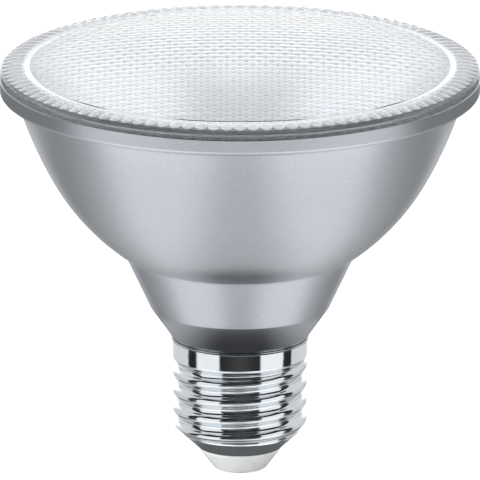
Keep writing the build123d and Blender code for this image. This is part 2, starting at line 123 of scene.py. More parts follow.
class HousingSizes(bpy.types.PropertyGroup):
    """Sizes of the spun shell."""

    wall: length("Wall", "Thickness of the shell", 1.1 * MM)
    foot_radius: length("Foot radius", "Radius of the neck where it meets the cap", 13.3 * MM)
    foot_height: length("Foot height", "Height of the neck's foot", housing_low.z)
    break_radius: length("Break radius", "Radius where the neck gets steeper", 17.68 * MM)
    break_height: length("Break height", "Height where the neck gets steeper", 33.3 * MM)
    break_round: length("Break round", "Round at the neck's break", 0.8 * MM)
    step_radius: length("Step radius", "Radius where the bowl starts", 22.6 * MM)
    step_height: length("Step height", "Height where the bowl starts", 43.9 * MM)
    step_round: length("Step round", "Hollow round between the neck and the bowl", 2.5 * MM)
    bowl_lean: angle("Bowl lean", "Angle from the axis at which the bowl starts", 55.5)
    middle_radius: length("Middle radius", "Radius of the bowl at its middle", 37.004 * MM)
    middle_height: length("Middle height", "Height of the bowl's middle", 59.8 * MM)
    brim_radius: length("Brim radius", "Radius of the bowl under the flange", 43.9 * MM)
    flange_height: length("Flange height", "Height of the flange's underside", 76.45 * MM)
    flange_thickness: length("Flange thickness", "Thickness of the flange", 1.15 * MM)
    flange_round: length("Flange round", "Hollow round under the flange", 0.8 * MM)
    rim_radius: length("Rim radius", "Outer radius of the rim", housing_high.x)
    rim_wall: length("Rim wall", "Thickness of the rim", 1.2 * MM)
    rim_round: length("Rim round", "Round at the rim's lower edge", 0.8 * MM)
    rim_top: length("Rim top", "Height of the rim's upper edge", 79.7 * MM)
    lip_round: length("Lip round", "Round at the rim's upper edge", 0.12 * MM)
    segments: count("Segments", "Points round the shell", 256)


class LensSizes(bpy.types.PropertyGroup):
    """Sizes of the clear front disc."""

    radius: length("Radius", "Outer radius of the lens", lens_high.x)
    seat: length("Seat", "Height of the border's underside, just clear of the rim", 79.73 * MM)
    thickness: length("Thickness", "Thickness of the border at its outer edge", 1.77 * MM)
    bevel: length("Bevel", "Bevel at the border's upper edge", 0.55 * MM)
    hollow: length("Hollow", "Rise of the underside from its skirt to its middle", 3.9 * MM)
    ring_height: length("Ring height", "Height of the ring groove, to which the border slopes up", 81.95 * MM)
    top: length("Top", "Height of the face's middle", lens_high.z)
    groove_inner: length("Groove inside", "Inner radius of the ring groove", 41.1 * MM)
    groove_width: length("Groove width", "Width of the ring groove", 1.0 * MM)
    groove_depth: length("Groove depth", "Depth of the ring groove", 0.35 * MM)
    skirt_radius: length("Skirt radius", "Outer radius of the skirt under the border", 43.4 * MM)
    skirt_wall: length("Skirt wall", "Thickness of the skirt", 1.4 * MM)
    skirt_drop: length("Skirt drop", "Height of the skirt below the border", 0.8 * MM)
    pebble_pitch: length("Pebble pitch", "Distance between pebbles, in a row and between rows", 2.5 * MM)
    pebble_height: length("Pebble height", "Height of a pebble", 0.08 * MM)
    pebble_reach: length("Pebble reach", "Radius of the pebbled field", 40.9 * MM)
    pebble_fade: length("Pebble fade", "Width over which the field's outer pebbles fade", 0.4 * MM)
    # Painted shade: a pebble's foot is darkened up to this part of its height.
    pit_reach: share("Pit reach", "Part of a pebble's height up to which its foot looks dark", 0.5)
    flute_count: count("Flutes", "Number of radial beads in the border", 112)
    flute_inner: length("Flute inside", "Inner radius of the beads", 42.2 * MM)
    flute_outer: length("Flute outside", "Outer radius of the beads", 46.5 * MM)
    flute_height: length("Flute height", "Height of a bead", 0.38 * MM)
    flute_tip: length("Flute tip", "Length of a bead's rounded end", 1.9 * MM)
    haze: share("Haze", "Milkiness of the face", 0.14)
    # The dark edge is painted shade.
    edge_haze: share("Edge haze", "Loss of that milkiness at the dark edge", 0.12)
    bead_haze: share("Bead haze", "Gain of that milkiness in the beads", 0.07)
    land_haze: share("Land haze", "Gain of that milkiness between the ring and the beads", 0.5)
    ring_part: share("Ring part", "Part of the groove's width that looks silvered", 0.45)
    ring_shine: share("Ring shine", "Strength of the ring's silvered look", 0.84)
    face_rings: count("Face rings", "Rings of points in the pebbled face", 112)
    border_rings: count("Border rings", "Rings of points in the border", 16)
    under_rings: count("Underside rings", "Rings of points in the underside", 24)


class CapSizes(bpy.types.PropertyGroup):
    """Sizes of the rolled screw cap."""

    crest_radius: length("Crest radius", "Radius of the thread's crest and of the collar", 13.2 * MM)
    thread_depth: length("Thread depth", "Depth of the thread", 1.1 * MM)
    pitch: length("Pitch", "Rise of the thread in one turn", 3.629 * MM)
    crest_height: length("Crest height", "Height of a crest on the side of minus X", 12.2 * MM)
    thread_start: length("Thread start", "Height where the thread starts", 7.6 * MM)
    thread_end: length("Thread end", "Height where the thread runs out into the collar", 23.4 * MM)
    cone_radius: length("Cone radius", "Radius of the lower cone at its top", 11.6 * MM)
    mouth_radius: length("Mouth radius", "Radius of the cap's lower mouth", 8.35 * MM)
    mouth_height: length("Mouth height", "Height of the cap's lower mouth", cap_low.z)
    sheet: length("Sheet", "Thickness of the sheet at the thread's root", 0.32 * MM)
    lip_radius: length("Lip radius", "Radius of the lip under the neck", cap_high.x)
    lip_height: length("Lip height", "Height of the lip", 0.35 * MM)
    lip_rise: length("Lip rise", "Height of the slope from the collar to the lip", 0.2 * MM)
    top: length("Top", "Height of the cap's upper edge", cap_high.z)
    segments: count("Segments", "Points round the cap", 192)
    turn_rings: count("Turn rings", "Rings of points in one turn of the thread", 26)


class TipSizes(bpy.types.PropertyGroup):
    """Sizes of the white insulator and the centre contact."""

    tip_radius: length("Tip radius", "Radius of the insulator's lower end", 5.2 * MM)
    tip_height: length("Tip height", "Height of the insulator's lower end", insulator_low.z)
    tip_round: length("Tip round", "Round at the insulator's lower end", 0.6 * MM)
    edge_radius: length("Edge radius", "Radius of the insulator in the cap's mouth", 7.98 * MM)
    edge_height: length("Edge height", "Height where the insulator's cone ends", 4.0 * MM)
    mouth_height: length("Mouth height", "Height where the insulator goes into the cap", cap_low.z)
    top_radius: length("Top radius", "Radius of the insulator inside the cap", insulator_high.x)
    top_height: length("Top height", "Height of the insulator inside the cap", insulator_high.z)
    top_wall: length("Top wall", "Thickness of the insulator's upper end", 2.0 * MM)
    web: length("Web", "Thickness of the insulator's floor", 2.4 * MM)
    contact_radius: length("Contact radius", "Radius of the centre contact", contact_high.x)
    contact_thickness: length("Contact thickness", "Thickness of the centre contact", 0.45 * MM)
    contact_round: length("Contact round", "Round at the contact's edge", 0.12 * MM)
    dimple_radius: length("Dimple radius", "Radius of the pressed dimple in the contact", 1.3 * MM)
    dimple_depth: length("Dimple depth", "Depth of the pressed dimple", 0.12 * MM)
    stem_radius: length("Stem radius", "Radius of the contact's stem", 1.5 * MM)
    stem_bore: length("Stem bore", "Radius of the hole for the live wire", 0.7 * MM)
    stem_top: length("Stem top", "Height of the stem's upper end", contact_high.z)
    gap: length("Gap", "Gap between the contact and the insulator", 0.05 * MM)
    segments: count("Segments", "Points round the insulator", 128)
    contact_segments: count("Contact segments", "Points round the contact", 96)


class ReflectorSizes(bpy.types.PropertyGroup):
    """Sizes of the metallised cup."""

    throat_radius: length("Throat radius", "Radius round the light source", 7.6 * MM)
    throat_height: length("Throat height", "Height where the cup starts to open", 53.6 * MM)
    foot_height: length("Foot height", "Height of the collar's foot", reflector_low.z)
    mouth_radius: length("Mouth radius", "Radius of the cup's mouth", 40.9 * MM)
    mouth_height: length("Mouth height", "Height of the cup's mouth", reflector_high.z)
    ledge_height: length("Ledge height", "Height of the flange's underside", 77.6 * MM)
    flange_radius: length("Flange radius", "Outer radius of the flange", reflector_high.x)
    wall: length("Wall", "Thickness of the cup", 1.0 * MM)
    coat_fade: length("Coat fade", "Width over which the coat ends past the mouth", 0.3 * MM)
    segments: count("Segments", "Points round the cup", 192)
    rings: count("Rings", "Rings of points in the cup", 32)


class FinishColours(bpy.types.PropertyGroup):
    """Colours of the surfaces that show."""

    silver: tint("Silver lacquer", "Satin lacquer of the housing", (0.672, 0.705, 0.757))
    nickel: tint("Nickel", "Bright plate of the cap and the contact", (0.79, 0.83, 0.865))
    lens: tint("Lens", "Clear moulding of the lens", (0.935, 0.965, 1.0))
    plastic: tint("White plastic", "Moulding of the insulator", slots["white_plastic"]["base_color"])
    mirror: tint("Mirror", "Metallised inside of the reflector", slots["mirror_coat"]["base_color"])
    phosphor: tint("Phosphor", "Gel over the light source", slots["yellow_phosphor"]["base_color"])


class StageSizes(bpy.types.PropertyGroup):
    """Places and levels of the studio."""

    distance: length("Distance", "Distance of the camera from the lamp's axis", 3133.4 * MM)
    elevation: angle("Elevation", "Angle of the camera above the horizon", 16.0)
    aim_height: length("Aim height", "Height at which the camera looks", 46.36 * MM)
    focal: bpy.props.FloatProperty(
        name="Focal length", description="Focal length of the camera", default=1200.0, unit="CAMERA")
    floor_size: length("Floor size", "Side of the floor", 12.0)
    floor_drop: length("Floor drop", "Gap between the lamp and the floor", 0.05 * MM)
    floor_colour: tint("Floor colour", "Pale floor", (0.9, 0.9, 0.9))
    floor_glow: share("Floor glow", "Part of the floor's white that no shadow takes away", 0.72)
    box_turn: angle("Softbox turn", "Turn of each softbox from the camera's side", 57.0)
    box_elevation: angle("Softbox elevation", "Angle of each softbox above the horizon", 10.0)
    box_distance: length("Softbox distance", "Distance of each softbox from the lamp", 0.9)
    box_width: length("Softbox width", "Width of each softbox", 0.6)
    box_height: length("Softbox height", "Height of each softbox", 0.9)
    box_power: bpy.props.FloatProperty(
        name="Softbox power", description="Power that each softbox has a part of", default=5.0, unit="POWER")
    left_gain: level("Left gain", "Part of that power in the left softbox", 1.3)
    right_gain: level("Right gain", "Part of that power in the right softbox", 0.3)
    back_gain: level("Back gain", "Part of that power in each softbox behind", 0.4)
    top_elevation: angle("Top elevation", "Angle of the light overhead above the horizon", 80.0)
    top_power: bpy.props.FloatProperty(
        name="Top light power", description="Power of the light overhead", default=8.0, unit="POWER")
    fill_level: share("Fill", "Level of the light from all round", 0.5)
    front_turn: angle("Front flag", "Half width of the dark flag behind the camera", 36.0)
    side_turn: angle("Side flag", "Turn at which the dark side flags start", 80.0)
    flag_level: share("Flag level", "Level of a dark flag", 0.03)
    front_glow: share("Front glow", "Gain of that level in the middle of the front flag", 0.04)
    back_level: level("Back level", "Level of the pale walls behind", 0.95)
    window_gain: level("Window gain", "Gain of that level straight behind the lamp", 0.95)
    box_level: level("Softbox level", "Level of a softbox, as metal shows it", 1.3)
    sky_level: level("Sky level", "Level of the white all round, as the lens shows it", 0.66)
    sky_gain: level("Sky gain", "Gain of that level towards the camera", 1.6)
    wing_gain: level("Wing gain", "Gain of that level at each side", 1.2)
    strip_level: level("Strip level", "Gain of the table's level at its front edge", 0.8)
    table_level: share("Table level", "Level of the table under the lamp, as metal shows it", 0.66)
    table_fall: share("Table fall", "Loss of that level towards the back", 0.32)
    panel_level: share("Panel level", "Gain of that level at each side", 0.42)
    card_reach: length("Card reach", "Half the side of the card under the lamp", 0.6)
    card_drop: length("Card drop", "Gap between the lamp and that card", 0.02 * MM)
    # The ring round the cap and the patch under it are painted shade that only metal shows.
    ring_reach: length("Ring reach", "Half the side of the card round the cap", 21.0 * MM)
    ring_height: length("Ring height", "Height of the card round the cap", 26.5 * MM)
    card_level: share("Card level", "Level of the dark cards, as metal shows them", 0.05)
    band_gain: share("Band gain", "Gain of that level in the far band", 0.15)
    fore_gain: share("Fore gain", "Gain of that level in the band's front part", 0.5)
    patch_gain: share("Patch gain", "Gain of that level in the patch under the cap", 0.08)
    ring_gain: share("Ring gain", "Gain of that level at each side of the ring round the cap", 0.4)


class LampSettings(bpy.types.PropertyGroup):
    """All sizes and colours of the lamp and its studio."""

    housing: bpy.props.PointerProperty(type=HousingSizes)
    lens: bpy.props.PointerProperty(type=LensSizes)
    cap: bpy.props.PointerProperty(type=CapSizes)
    tip: bpy.props.PointerProperty(type=TipSizes)
    reflector: bpy.props.PointerProperty(type=ReflectorSizes)
    colours: bpy.props.PointerProperty(type=FinishColours)
    stage: bpy.props.PointerProperty(type=StageSizes)


# Node graphs


class Socket:
    """A node's output that takes part in plain arithmetic. Each operation adds one Math node."""

    def __init__(self, graph, output):
        self.graph = graph
        self.output = output

    def math(self, operation, *others):
        return self.graph.math(operation, self, *others)

    def __add__(self, other):
        return self.math("ADD", other)

    def __sub__(self, other):
        return self.math("SUBTRACT", other)

    def __rsub__(self, other):
        return self.graph.math("SUBTRACT", other, self)

    def __mul__(self, other):
        return self.math("MULTIPLY", other)

    def __truediv__(self, other):
        return self.math("DIVIDE", other)

    def __rtruediv__(self, other):
        return self.graph.math("DIVIDE", other, self)

    def __pow__(self, other):
        return self.math("POWER", other)

    def __abs__(self):
        return self.math("ABSOLUTE")

    def __round__(self):
        return self.math("ROUND")

    def __gt__(self, other):
        return self.math("GREATER_THAN", other)

    def __lt__(self, other):
        return self.math("LESS_THAN", other)

    __radd__ = __add__
    __rmul__ = __mul__


class Outputs:
    """The outputs of a made node, picked by name."""

    def __init__(self, graph, sockets):
        self.graph = graph
        self.sockets = sockets

    def __getitem__(self, key):
        return Socket(self.graph, pick(self.sockets, key))


def pick(sockets, key):
    """Socket by number, or the first one in use with a name."""
    if isinstance(key, int):
        return sockets[key]
    return next(socket for socket in sockets if socket.name == key and socket.enabled)


class Graph:
    """One node tree. Every node comes from one method, its settings set before its sockets."""

    def __init__(self, tree):
        self.tree = tree
        tree.nodes.clear()

    def node(self, kind, settings=None, inputs=None):
        made = self.tree.nodes.new(kind)
        for name, value in (settings or {}).items():
            setattr(made, name, value)
        for key, value in (inputs or {}).items():
            socket = pick(made.inputs, key)
            if isinstance(value, Socket):
                self.tree.links.new(value.output, socket)
            elif socket.type == "RGBA":
                socket.default_value = (*value[:3], 1.0)
            else:
                socket.default_value = value
        return Outputs(self, made.outputs)

    def math(self, operation, *values):
        inputs = dict(enumerate(values))
        return self.node("ShaderNodeMath", {"operation": operation}, inputs)["Value"]

    def ease(self, value, start, end):
        """Rises smoothly from 0 to 1 as a value goes from start to end."""
        return self.node("ShaderNodeMapRange", {"interpolation_type": "SMOOTHSTEP"},
                         {"Value": value, "From Min": start, "From Max": end})["Result"]

    def split(self, vector):
        """The three parts of a vector."""
        parts = self.node("ShaderNodeSeparateXYZ", inputs={"Vector": vector})
        return parts["X"], parts["Y"], parts["Z"]

    def blend(self, part, low, high):
        """Colour between two others."""
        return self.node("ShaderNodeMix", {"data_type": "RGBA"},
                         {"Factor": part, "A": low, "B": high})["Result"]

    def mottle(self, size, detail=2.0):
        """Noise between 0 and 1 whose patches are about a size across."""
        place = self.node("ShaderNodeTexCoord")["Object"]
        return self.node("ShaderNodeTexNoise",
                         inputs={"Vector": place, "Scale": 1.0 / size, "Detail": detail})["Fac"]

    def bump(self, height, depth):
        """Normal of a surface raised by a height."""
        return self.node("ShaderNodeBump", inputs={"Height": height, "Distance": depth})["Normal"]

    def place(self):
        """The three parts of a point's place on its object, and its distance from the axis."""
        x, y, z = self.split(self.node("ShaderNodeTexCoord")["Object"])
        return x, y, z, (x * x + y * y) ** 0.5

    def surface(self, inputs):
        """Principled surface as the material's output."""
        shader = self.node("ShaderNodeBsdfPrincipled", inputs=inputs)
        self.node("ShaderNodeOutputMaterial", inputs={"Surface": shader["BSDF"]})


def new_finish(name):
    """New material and the graph that makes it."""
    material = bpy.data.materials.new(name)
    material.use_nodes = True
    return material, Graph(material.node_tree)


def scaled(colour, gain):
    """Colour made darker or lighter, as plain numbers."""
    return [min(1.0, part * gain) for part in colour[:3]]


# Finishes


def silver_lacquer(colour):
    """Satin metallic lacquer: fine flake grain and slow cloudiness."""
    material, graph = new_finish("silver_lacquer")
    flake = graph.mottle(size=0.28 * MM, detail=1.0)
    cloud = graph.mottle(size=14 * MM)
    flake_part = 0.7
    speckle = graph.ease(flake, start=0.3, end=0.7) * flake_part + cloud * (1 - flake_part)
    graph.surface({
        "Base Color": graph.blend(speckle, low=scaled(colour, gain=0.94), high=scaled(colour, gain=1.08)),
        "Metallic": 1.0,
        "Roughness": 0.26 + 0.05 * cloud,
        "Normal": graph.bump(flake, depth=0.012 * MM),
    })
    return material


def bright_nickel(colour):
    """Bright plate on rolled sheet: nearly a mirror, with faint handling haze."""
    material, graph = new_finish("bright_nickel")
    haze = graph.ease(graph.mottle(size=5 * MM, detail=4.0), start=0.4, end=0.7)
    ripple = graph.mottle(size=1.6 * MM, detail=3.0)
    graph.surface({
        "Base Color": graph.blend(haze, low=colour, high=scaled(colour, gain=0.95)),
        "Metallic": 1.0,
        "Roughness": 0.07 + 0.06 * haze,
        "Normal": graph.bump(ripple, depth=0.01 * MM),
    })
    return material


def bead_sizes(size):
    """Sizes of the beads in the lens's border, by the names that their rule gives them."""
    return {"Flutes": size.flute_count, "Flute inside": size.flute_inner,
            "Flute outside": size.flute_outer, "Flute tip": size.flute_tip}


def bead_rise(graph, x, y, radius, size):
    """Rise of the radial beads: 1 along a bead's back, 0 at its sides and round ends, less past them."""
    turn = graph.math("ARCTAN2", y, x) * size["Flutes"] / (2 * math.pi)
    beside = (turn - round(turn)) * 2
    middle = (size["Flute inside"] + size["Flute outside"]) / 2
    straight = (size["Flute outside"] - size["Flute inside"]) / 2 - size["Flute tip"]
    past = (abs(radius - middle) - straight).math("MAXIMUM", 0.0) / size["Flute tip"]
    return 1 - beside * beside - past * past


def pebble_rise(x, y, pitch):
    """Rise of the pebbles in their staggered rows: 1 at their tops, 0 at the corners between three."""
    across, down = x / pitch, y / pitch
    row = down.math("FLOOR")
    stagger = 0.5
    corner = 0.5 + stagger ** 2 / 2

    def apart(row):
        """Square of the distance to the nearest pebble of a row, in pitches."""
        beside = across - row * stagger
        beside = beside - round(beside)
        away = down - row
        return beside * beside + away * away

    return 1 - apart(row).math("MINIMUM", apart(row + 1)) / corner ** 2


def clear_lens(colour, size):
    """Clear moulding: faintly milky, with a silvered look in its ring, and painted shade: darkened between
    its pebbles and between its beads, and greyed on its outer edge.
    """
    material, graph = new_finish("clear_lens")
    flow = graph.mottle(size=9 * MM, detail=3.0)
    x, y, _, radius = graph.place()
    soft = 0.1 * MM

    def past(start):
        """Everything outside a radius."""
        return graph.ease(radius, start - soft, start + soft)

    outer_half = past((size.flute_inner + size.flute_outer) / 2)
    # Painted shade: the clear colour is darkened in the gaps between the beads' outer halves and on the outer
    # edge past the beads.
    ground = 1 - graph.ease(bead_rise(graph, x, y, radius, bead_sizes(size)), start=0.02, end=0.25)
    edge = ground * outer_half
    beads = past(size.flute_inner) * (1 - edge)
    # Painted shade: the pits between the pebbles are darkened.
    painted_pit_shade = 1 - graph.ease(pebble_rise(x, y, size.pebble_pitch), start=0.0, end=size.pit_reach)
    painted_pit_shade = painted_pit_shade * (1 - past(size.pebble_reach))
    inner_wall = past(size.groove_inner)
    outer_wall = past(size.groove_inner + size.ring_part * size.groove_width)
    ring = inner_wall - outer_wall
    land = outer_wall - past(size.flute_inner)

    shade = graph.blend(flow, low=scaled(colour, gain=0.98), high=colour)
    # Painted shade colours: near black in the pits and the bead gaps, grey on the outer edge.
    dark = scaled(colour, gain=0.08)
    rim = graph.blend(past(size.flute_outer), low=dark, high=scaled(colour, gain=0.34))
    painted_shade_colour = graph.blend(painted_pit_shade, low=graph.blend(edge, low=shade, high=rim), high=dark)
    satin = 0.1 + 0.1 * flow
    bend = 1.49
    clear = graph.node("ShaderNodeBsdfPrincipled", inputs={
        "Base Color": painted_shade_colour, "Roughness": 0.03 + 0.04 * flow, "IOR": bend, "Transmission Weight": 1.0})
    milky = graph.node("ShaderNodeBsdfPrincipled", inputs={
        "Base Color": shade, "Roughness": satin, "IOR": bend})
    silvered = graph.node("ShaderNodeBsdfPrincipled", inputs={
        "Base Color": shade, "Roughness": satin, "Metallic": 1.0})
    # The milkiness drops where the edge has painted shade.
    haze = size.haze - size.edge_haze * edge + size.bead_haze * beads + size.land_haze * land
    shine = size.ring_shine * ring
    body = graph.node("ShaderNodeMixShader", inputs={0: haze, 1: clear["BSDF"], 2: milky["BSDF"]})
    both = graph.node("ShaderNodeMixShader", inputs={0: shine, 1: body["Shader"], 2: silvered["BSDF"]})
    graph.node("ShaderNodeOutputMaterial", inputs={"Surface": both["Shader"]})
    return material


def white_plastic(colour):
    """Smooth white moulding with a soft gloss."""
    material, graph = new_finish("white_plastic")
    cloud = graph.mottle(size=4 * MM, detail=3.0)
    graph.surface({
        "Base Color": graph.blend(cloud, low=scaled(colour, gain=0.97), high=colour),
        "Roughness": 0.22 + 0.1 * cloud,
        "Normal": graph.bump(graph.mottle(size=0.5 * MM), depth=0.008 * MM),
    })
    return material


def mirror_coat(colour, size):
    """Metallised coat with a faint orange peel. The flange past the cup's mouth is bare moulding."""
    material, graph = new_finish("mirror_coat")
    peel = graph.mottle(size=2.2 * MM)
    radius = graph.place()[-1]
    bare = graph.ease(radius, size.mouth_radius, size.mouth_radius + size.coat_fade)
    coat = graph.blend(peel, low=scaled(colour, gain=0.97), high=colour)
    graph.surface({
        "Base Color": graph.blend(bare, low=coat, high=scaled(colour, gain=0.4)),
        "Metallic": 1 - bare,
        "Roughness": 0.06 + 0.05 * peel + 0.4 * bare,
        "Normal": graph.bump(peel, depth=0.01 * MM),
    })
    return material


# Shine of each class of material: metallic, roughness, grain in metres
class_shine = {
    "aluminium": (0.85, 0.34, 0.8 * MM),
    "brushed_steel": (1.0, 0.28, 0.4 * MM),
    "rubber": (0.0, 0.55, 0.7 * MM),
    "gloss_plastic": (0.0, 0.28, 1.2 * MM),
    "matte_plastic": (0.0, 0.5, 0.5 * MM),
    "ceramic": (0.0, 0.62, 0.4 * MM),
}


def inner_finish(slot, colour):
    """Finish of an inner piece from its class: a mottled colour, uneven gloss and a fine grain."""
    material, graph = new_finish(slot)
    metallic, roughness, grain_size = class_shine[slots[slot]["class"]]
    cloud = graph.mottle(size=6 * MM, detail=3.0)
    grain = graph.mottle(grain_size)
    cloud_part = 0.6
    speckle = cloud * cloud_part + grain * (1 - cloud_part)
    graph.surface({
        "Base Color": graph.blend(speckle, low=scaled(colour, gain=0.88), high=scaled(colour, gain=1.1)),
        "Metallic": metallic,
        "Roughness": roughness + 0.12 * (grain - 0.5),
        "Normal": graph.bump(grain, depth=0.02 * MM),
    })
    return material


# Outlines: a point is radius + height * 1j


def arc(centre, start, end, steps):
    """Points round a centre from start to end, the shorter way."""
    turn = cmath.phase((end - centre) / (start - centre))
    return [centre + (start - centre) * cmath.rect(1, turn * i / steps) for i in range(steps + 1)]


def unit(step):
    """Heading of a step."""
    return step / abs(step)


def rounded(before, point, after, radius, steps=6):
    """Arc that rounds the corner at a point, with a point past each end so that the flats shade flat."""
    back, ahead = unit(before - point), unit(after - point)
    half = abs(cmath.phase(ahead / back)) / 2
    centre = point + unit(back + ahead) * radius / math.sin(half)
    reach = radius / math.tan(half)
    support = 1.2 * reach
    bend = arc(centre, point + back * reach, point + ahead * reach, steps)
    return [point + back * support, *bend, point + ahead * support]


def bend_centre(start, end, heading):
    """Centre of the arc from start to end that leaves along a heading, and its heading at the end."""
    chord = end - start
    left = 1j * heading
    radius = abs(chord) ** 2 / (2 * (left.conjugate() * chord).real)
    return start + left * radius, unit(chord) ** 2 * heading.conjugate()


def inset(points, wall):
    """Line to the left of another, a wall away."""
    headings = [unit(after - before)
                for before, after in zip(points[:1] + points[:-1], points[1:] + points[-1:])]
    return [point + 1j * heading * wall for point, heading in zip(points, headings)]


def crown_line(edge_radius, edge_height, crown, radii):
    """Points on a shallow dome at given radii."""
    bend = (edge_radius ** 2 + crown ** 2) / (2 * crown)
    top = edge_height + crown
    return [complex(radius, top - bend + math.sqrt(bend ** 2 - radius ** 2)) for radius in radii]


# Meshes


def join(mesh, lower, upper):
    """Faces between two rings of points. A ring of one point is a pole, and counts may differ."""
    below, above = len(lower), len(upper)
    if below == above:
        for i in range(below):
            after = (i + 1) % below
            mesh.faces.new((lower[i], lower[after], upper[after], upper[i]))
        return
    i = below if below == 1 else 0
    j = above if above == 1 else 0
    while i < below or j < above:
        if j == above or (i < below and (i + 1) * above <= (j + 1) * below):
            mesh.faces.new((lower[i], lower[(i + 1) % below], upper[j % above]))
            i += 1
        else:
            mesh.faces.new((lower[i % below], upper[(j + 1) % above], upper[j]))
            j += 1


def lathe(outline, counts, closed=True):
    """Mesh turned about Z from an outline run with the solid on its left, and its rings of points."""
    mesh = bmesh.new()
    rings = []
    for point, segments in zip(outline, counts):
        turns = [2 * math.pi * i / segments for i in range(segments)]
        rings.append([mesh.verts.new((point.real * math.cos(turn), point.real * math.sin(turn), point.imag))
                      for turn in turns])
    for lower, upper in zip(rings, rings[1:] + rings[:1] * closed):
        join(mesh, lower, upper)
    return mesh, rings


def poles(outline, segments):
    """Number of points in each ring of an outline: one on the axis, else the same all over."""
    return [1 if point.real == 0 else segments for point in outline]


def add_object(name, mesh, material):
    """Object in the scene from a built mesh, smooth but for its corners."""
    sharp = math.radians(32)
    mesh.normal_update()
    for face in mesh.faces:
        face.smooth = True
    for edge in mesh.edges:
        edge.smooth = edge.calc_face_angle(0.0) < sharp
    data = bpy.data.meshes.new(name)
    mesh.to_mesh(data)
    mesh.free()
    data.materials.append(material)
    made = bpy.data.objects.new(name, data)
    bpy.context.scene.collection.objects.link(made)
    return made


def hand_over(piece, node):
    """Piece that rides with the lamp and stands for one of its nodes."""
    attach(piece, "root")
    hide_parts(node)


def dress(node, material):
    """Finish for a node whose own mesh stays."""
    node_object = frame["nodes"][node]
    if not node_object.data.materials:
        node_object.data.materials.append(material)
    for material_slot in node_object.material_slots:
        material_slot.material = material


def raise_relief(piece, name, sizes, shape, material):
    """Lifts a piece's points by a rule written as node arithmetic, and keeps the result as a plain mesh."""
    tree = bpy.data.node_groups.new(name, "GeometryNodeTree")
    graph = Graph(tree)
    tree.interface.new_socket(name="Geometry", in_out="OUTPUT", socket_type="NodeSocketGeometry")
    tree.interface.new_socket(name="Geometry", in_out="INPUT", socket_type="NodeSocketGeometry")
    identifiers = {}
    for label in sizes:
        made = tree.interface.new_socket(name=label, in_out="INPUT", socket_type="NodeSocketFloat")
        identifiers[label] = made.identifier
    given = graph.node("NodeGroupInput")
    height = shape(graph, {label: given[label] for label in sizes})
    lift = graph.node("ShaderNodeCombineXYZ", inputs={"Z": height})["Vector"]
    moved = graph.node("GeometryNodeSetPosition", inputs={"Geometry": given["Geometry"], "Offset": lift})
    real = graph.node("GeometryNodeRealizeInstances", inputs={"Geometry": moved["Geometry"]})
    painted = graph.node("GeometryNodeSetMaterial",
                         inputs={"Geometry": real["Geometry"], "Material": material})
    graph.node("NodeGroupOutput", inputs={"Geometry": painted["Geometry"]})
    modifier = piece.modifiers.new(name, "NODES")
    modifier.node_group = tree
    for label, value in sizes.items():
        modifier[identifiers[label]] = float(value)
    evaluated = piece.evaluated_get(bpy.context.evaluated_depsgraph_get())
    plain = bpy.data.meshes.new_from_object(evaluated)
    piece.modifiers.remove(modifier)
    piece.data = plain


# Housing


def housing_outline(size):
    """Section of the shell: neck, hollow step, bowl, flange and rim, then back down the inside."""
    neck_steps = 8
    hollow_steps = 12
    bowl_steps = 24
    lip_steps = 3
    foot = complex(size.foot_radius, size.foot_height)
    bend = complex(size.break_radius, size.break_height)
    step = complex(size.step_radius, size.step_height)
    middle = complex(size.middle_radius, size.middle_height)
    brim = complex(size.brim_radius, size.flange_height)
    neck = unit(step - bend)
    outward = -1j * neck
    bowl_centre, middle_heading = bend_centre(step, middle, 1j * cmath.rect(1, -size.bowl_lean))
    upper_centre, brim_heading = bend_centre(middle, brim, middle_heading)
    bowl_radius = abs(step - bowl_centre)
    apart = step + outward * size.step_round - bowl_centre
    along = (apart * neck.conjugate()).real
    spare = abs(apart) ** 2 - (bowl_radius + size.step_round) ** 2
    slide = -along - math.copysign(math.sqrt(along ** 2 - spare), -along)
    hollow_centre = step + outward * size.step_round + slide * neck
    bowl_start = bowl_centre + (hollow_centre - bowl_centre) * bowl_radius / (bowl_radius + size.step_round)
    neck_line = [foot + (bend - foot) * i / neck_steps for i in range(neck_steps - 2)]
    neck_line += rounded(foot, bend, step, size.break_round)
    neck_line += arc(hollow_centre, step + slide * neck, bowl_start, hollow_steps)
    bowl_line = arc(bowl_centre, bowl_start, middle, bowl_steps)[1:]
    bowl_line += arc(upper_centre, middle, brim, bowl_steps)[1:]
    flange = rounded(brim - brim_heading, brim, brim + 1, size.flange_round)
    skin = neck_line + [point for point in bowl_line if point.imag < flange[0].imag] + flange[:1]
    lining = inset(skin, size.wall)
    lining[0] -= (bend - foot) * (lining[0] - foot).imag / (bend - foot).imag
    ledge_height = size.flange_height + size.flange_thickness
    ledge = lining[-1] + brim_heading * (ledge_height - lining[-1].imag) / brim_heading.imag
    rim_foot = complex(size.rim_radius, size.flange_height)
    rim_lip = complex(size.rim_radius, size.rim_top)
    rim_inside = complex(size.rim_radius - size.rim_wall, size.rim_top)
    rim = rounded(brim, rim_foot, rim_lip, size.rim_round)
    rim += rounded(rim_foot, rim_lip, rim_inside, size.lip_round, lip_steps)
    rim += [rim_inside, complex(rim_inside.real, ledge_height)]
    return skin + flange[1:] + rim + [ledge] + lining[::-1]


class LAMP_OT_housing(bpy.types.Operator):
    """Makes the spun silver shell"""

    bl_idname = "lamp.housing"
    bl_label = "Housing"

    def execute(self, context):
        settings = context.scene.lamp
        outline = housing_outline(settings.housing)
        mesh, _ = lathe(outline, poles(outline, settings.housing.segments))
        shell = add_object("housing_shell", mesh, silver_lacquer(settings.colours.silver))
        hand_over(shell, "housing")
        return {"FINISHED"}


# Lens


